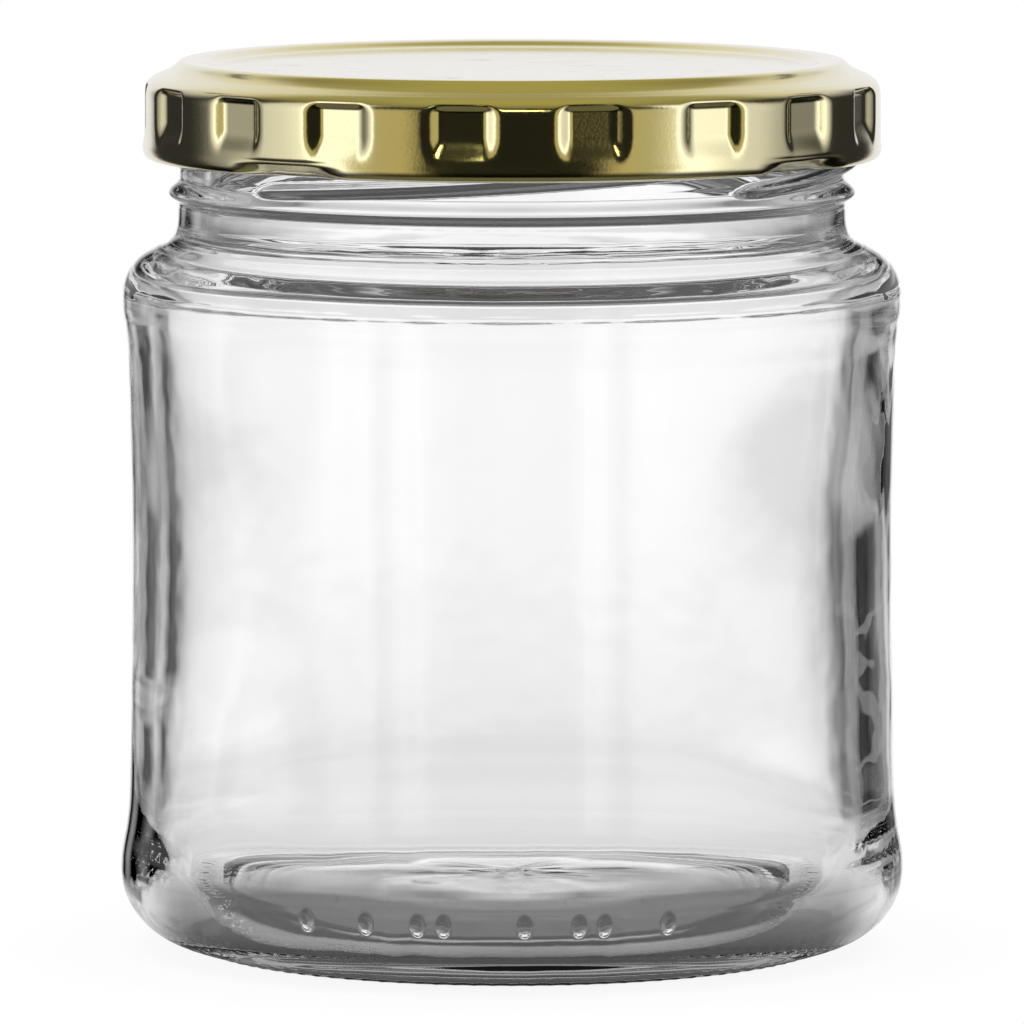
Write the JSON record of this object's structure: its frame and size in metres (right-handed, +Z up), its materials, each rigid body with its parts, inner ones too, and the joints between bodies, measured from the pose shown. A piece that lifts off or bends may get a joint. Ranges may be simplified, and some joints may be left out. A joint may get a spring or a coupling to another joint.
{
  "type": "mason jar",
  "caption": "Round clear glass food jar with a gold twist-off lug lid that has grip dimples round its skirt and a sealing ring inside.",
  "frame": {"origin": "centre of the ring the jar stands on, at the height of the surface under it", "axes": "+Z up along the jar's axis, -Y towards the front, +X to the right seen from the front"},
  "size_m": [0.0854, 0.0854, 0.097],
  "materials": {
    "clear_glass": "clear colourless soda-lime glass, smooth and glossy, slightly wavy inside",
    "gold_tinplate": "gold lacquer over tinplate, satin gloss with fine scuffs",
    "plastisol_seal": "soft off-white plastisol, matt"
  },
  "bodies": {
    "jar": {"glass_jar": "clear_glass"},
    "seal": {"lid_gasket": "plastisol_seal"},
    "lid": {"lid_shell": "gold_tinplate"}
  },
  "joints": [
    {"name": "lid_climb", "type": "slide", "parent": "jar", "child": "seal", "axis": [0, 0, 1], "range_m": [0, 0.0141]},
    {"name": "lid_twist", "type": "hinge", "parent": "seal", "child": "lid", "pos_m": [0, 0, 0.097], "axis": [0, 0, 1], "range_deg": [0, 360]}
  ],
  "couplings": [
    {"joint": "lid_climb", "follows": "lid_twist", "m_per_rad": 0.0022282}
  ]
}
